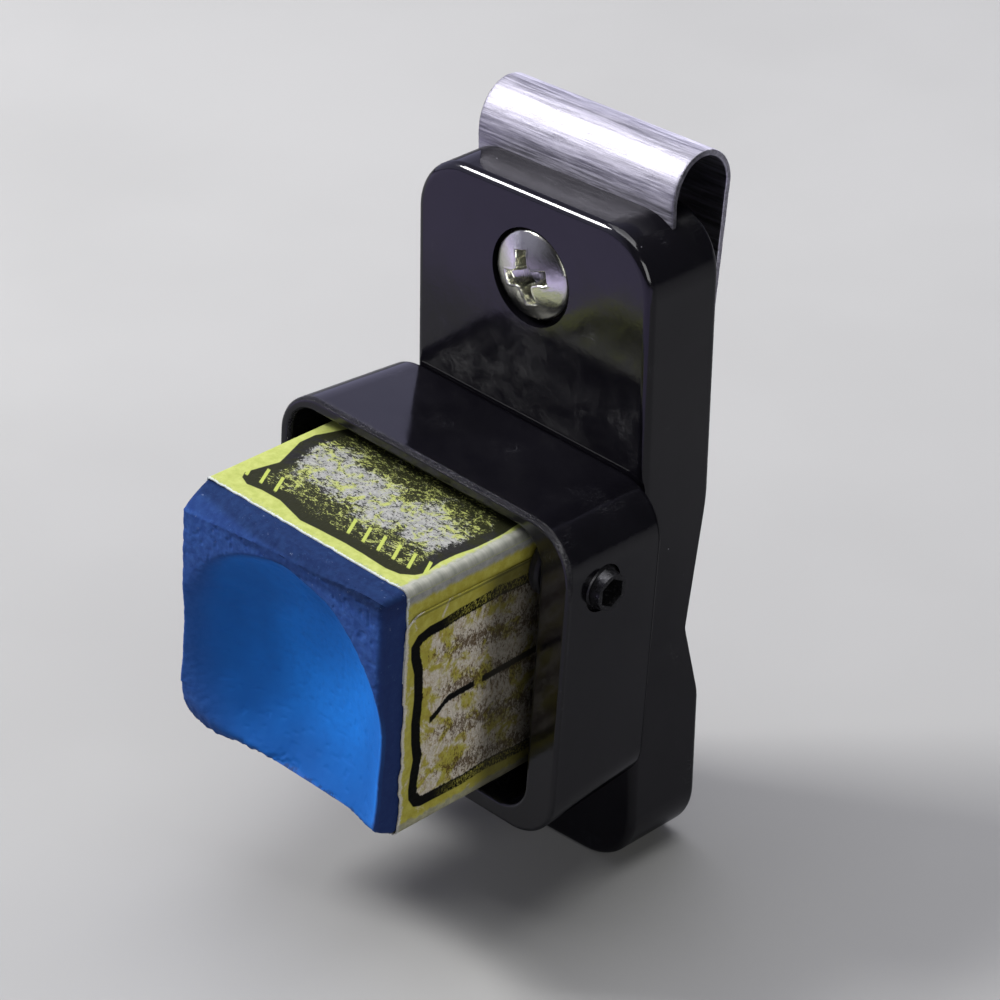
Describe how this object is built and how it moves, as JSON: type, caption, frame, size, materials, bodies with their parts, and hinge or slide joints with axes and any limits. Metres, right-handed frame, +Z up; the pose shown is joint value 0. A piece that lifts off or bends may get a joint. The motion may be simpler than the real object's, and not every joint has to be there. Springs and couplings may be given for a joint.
{
  "type": "belt clip chalk holder",
  "caption": "Small belt clip holder with a magnet-held cup that grips a cube of cue chalk, on a flat plate with a sprung steel clip behind.",
  "frame": {"origin": "centre of the front plate's flat bottom edge: mid-width, mid-thickness of the front moulding, lowest face", "axes": "+Z up the plate towards the clip's bend, -Y out of the front towards the chalk's worn face, +Y towards the wearer and the clip's leg, +X to the right seen from the front"},
  "size_m": [0.0334, 0.0363, 0.061],
  "materials": {
    "plate_plastic": "gloss",
    "cover_plastic": "satin",
    "cup_plastic": "gloss",
    "strip_steel": "satin",
    "screw_steel": "satin",
    "nut_steel": "satin",
    "magnet_plating": "polished",
    "pad_plastic": "matte",
    "black_steel": "satin",
    "chalk": "matte",
    "label_paper": "matte"
  },
  "bodies": {
    "plate": {"front_plate": "plate_plastic", "rear_cover": "cover_plastic", "clip_strip": "strip_steel", "clamp_screw": "screw_steel", "clamp_nut": "nut_steel", "plate_magnet": "magnet_plating"},
    "leg": {"clip_leg": "strip_steel"},
    "magnet": {"cup_magnet": "magnet_plating"},
    "cup": {"chalk_cup": "cup_plastic"},
    "pad": {"pressure_pad": "pad_plastic"},
    "screw": {"set_screw": "black_steel"},
    "chalk": {"chalk_block": "chalk", "chalk_label": "label_paper"}
  },
  "joints": [
    {"name": "clip_flex", "type": "hinge", "parent": "plate", "child": "leg", "pos_m": [0, 0.00534, 0.06075], "axis": [1, 0, 0], "range_deg": [0, 9], "stiffness_Nm_per_rad": 1.8, "springref_deg": -2.01},
    {"name": "cup_pull", "type": "slide", "parent": "plate", "child": "magnet", "axis": [0, -1, 0], "range_m": [0, 0.03]},
    {"name": "cup_swivel", "type": "hinge", "parent": "magnet", "child": "cup", "pos_m": [0, -0.00255, 0.0233], "axis": [0, 1, 0], "continuous": true},
    {"name": "chalk_slide", "type": "slide", "parent": "cup", "child": "chalk", "axis": [0, -1, 0], "range_m": [0, 0.02]},
    {"name": "pad_travel", "type": "slide", "parent": "cup", "child": "pad", "axis": [0.9986, 0, -0.053], "range_m": [0, 0.00105]},
    {"name": "set_screw_turn", "type": "hinge", "parent": "pad", "child": "screw", "pos_m": [0.01572, -0.00948, 0.03081], "axis": [0.9986, 0, -0.053], "range_deg": [0, 540]}
  ],
  "couplings": [
    {"joint": "set_screw_turn", "follows": "pad_travel", "rad_per_m": 8976}
  ]
}
